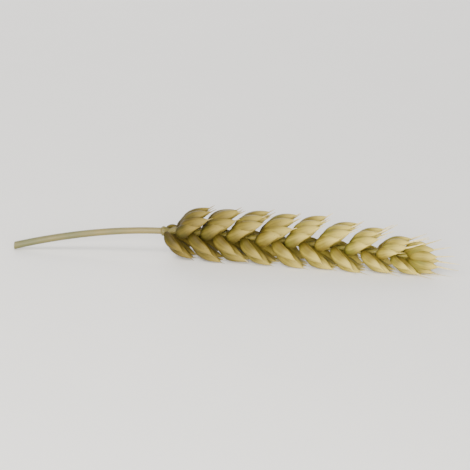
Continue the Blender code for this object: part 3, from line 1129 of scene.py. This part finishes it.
class WHEATEAR_OT_paleas(bpy.types.Operator):
    """Builds the florets' thin inner husks, which close them towards the rachis"""

    bl_idname = "wheat_ear.paleas"
    bl_label = "Paleas"
    bl_options = {"REGISTER", "UNDO"}

    def execute(self, context):
        sizes, colours = settings(context)
        draw = own_draw("paleas")
        masters = {organ["kind"]: palea_master(organ, "palea_" + organ["kind"]) for organ in FLORETS}
        items = []
        for kind, _, root, along, back, stretch, size in organs_of(FLORETS):
            items.append(placed_copy(masters[kind], root, along, -back, draw.random(), stretch, size))
        remove(*masters.values())
        paleas = join_pieces("paleas", items)
        thicken(paleas, sizes.husk_thickness)
        finish_piece(paleas, hull_material("palea_husk", colours, 0.25, 0.6, 0.15))
        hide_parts("head")
        return {"FINISHED"}


class WHEATEAR_OT_awns(bpy.types.Operator):
    """Builds the glumes' beaks and the short awns, which grow longer towards the tip of the ear"""

    bl_idname = "wheat_ear.awns"
    bl_label = "Awns"
    bl_options = {"REGISTER", "UNDO"}

    def execute(self, context):
        sizes, colours = settings(context)
        draw = own_draw("awns")
        master = awn_master("awn")
        items = []
        for index, organs in enumerate(spikelets()):
            awn_size = mixed(1.0, AWN_SIZE_AT_TIP, index / SIDE_SPIKELETS)
            for organ, _, root, along, back in organs:
                length = organ["awn"] + AWN_OVERLAP
                foot = root + along * (organ["length"] - AWN_OVERLAP) + back * AWN_LIFT
                beak = organ["kind"] == "glume"
                size = sizes.awn_radius * (BEAK_SIZE if beak else awn_size)
                sway = draw.uniform(-AWN_SWAY, AWN_SWAY) * length / size
                tint = mixed(*(BEAK_TINTS if beak else AWN_TINTS), draw.random())
                items.append(placed_copy(master, foot, along, back, tint, length / size, size, sway))
        remove(master)
        awns = join_pieces("awns", items)
        finish_piece(awns, awn_material(colours))
        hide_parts("head")
        return {"FINISHED"}


class WHEATEAR_OT_stage(bpy.types.Operator):
    """Sets out the pale floor, the soft lights and the camera"""

    bl_idname = "wheat_ear.stage"
    bl_label = "Stage"
    bl_options = {"REGISTER", "UNDO"}

    def execute(self, context):
        _, colours = settings(context)
        self.lay_floor(colours)
        self.set_lights()
        self.set_camera()
        return {"FINISHED"}

    def lay_floor(self, colours):
        bpy.ops.mesh.primitive_plane_add(size=6, location=(0, 0, 0))
        floor = bpy.context.active_object
        floor.name = "floor"
        material, tree, shader = new_material("pale_floor")
        place = add_node(tree, "ShaderNodeTexCoord").outputs["Object"]
        darker = tuple(0.96 * value for value in colours.floor)
        colour = blend(tree, noise(tree, place, 30.0), colours.floor, darker)
        tree.links.new(colour, shader.inputs["Base Color"])
        shader.inputs["Roughness"].default_value = 0.7
        floor.data.materials.append(material)

    def set_lights(self):
        for name, place, size, power, tone in LIGHTS:
            bpy.ops.object.light_add(type="AREA", location=place)
            light = bpy.context.active_object
            light.name = name
            light.data.size = size
            light.data.energy = power
            light.data.color = tone
            light.rotation_euler = (-Vector(place)).to_track_quat("-Z", "Y").to_euler()
        world = bpy.data.worlds.new("soft_room")
        world.use_nodes = True
        background = world.node_tree.nodes["Background"]
        background.inputs["Color"].default_value = ROOM_COLOUR
        background.inputs["Strength"].default_value = ROOM_STRENGTH
        bpy.context.scene.world = world

    def set_camera(self):
        """Looks at the middle of the ear, from a little above."""
        way = Vector((
            math.sin(CAMERA_AZIMUTH) * math.cos(CAMERA_ELEVATION),
            -math.cos(CAMERA_AZIMUTH) * math.cos(CAMERA_ELEVATION),
            math.sin(CAMERA_ELEVATION),
        ))
        bpy.ops.object.camera_add(location=(CAD_LOW + CAD_HIGH) / 2 + way * CAMERA_DISTANCE)
        camera = bpy.context.active_object
        camera.name = "camera"
        camera.rotation_euler = (-way).to_track_quat("-Z", "Y").to_euler()
        camera.data.sensor_width = CAMERA_SENSOR
        camera.data.lens = CAMERA_SENSOR * CAMERA_DISTANCE / CAMERA_FIELD
        bpy.context.scene.camera = camera


OPERATORS = (
    WHEATEAR_OT_straw,
    WHEATEAR_OT_rachis,
    WHEATEAR_OT_hairs,
    WHEATEAR_OT_glumes,
    WHEATEAR_OT_lemmas,
    WHEATEAR_OT_paleas,
    WHEATEAR_OT_awns,
    WHEATEAR_OT_stage,
)


class WHEATEAR_PT_pieces(bpy.types.Panel):
    bl_label = "Wheat Ear"
    bl_idname = "WHEATEAR_PT_pieces"
    bl_space_type = "VIEW_3D"
    bl_region_type = "UI"
    bl_category = "Wheat Ear"

    def draw(self, context):
        for group in (context.scene.wheat_ear_sizes, context.scene.wheat_ear_colours):
            column = self.layout.column()
            for key in group.__annotations__:
                column.prop(group, key)
        for operator in OPERATORS:
            self.layout.operator(operator.bl_idname)


CLASSES = (WheatEarSizes, WheatEarColours, *OPERATORS, WHEATEAR_PT_pieces)


def register():
    for item in CLASSES:
        bpy.utils.register_class(item)
    bpy.types.Scene.wheat_ear_sizes = PointerProperty(type=WheatEarSizes)
    bpy.types.Scene.wheat_ear_colours = PointerProperty(type=WheatEarColours)


def unregister():
    del bpy.types.Scene.wheat_ear_sizes
    del bpy.types.Scene.wheat_ear_colours
    for item in reversed(CLASSES):
        bpy.utils.unregister_class(item)


def main():
    register()
    bpy.ops.wheat_ear.straw()
    bpy.ops.wheat_ear.rachis()
    bpy.ops.wheat_ear.hairs()
    bpy.ops.wheat_ear.glumes()
    bpy.ops.wheat_ear.lemmas()
    bpy.ops.wheat_ear.paleas()
    bpy.ops.wheat_ear.awns()
    bpy.ops.wheat_ear.stage()


if __name__ == "__main__":
    main()
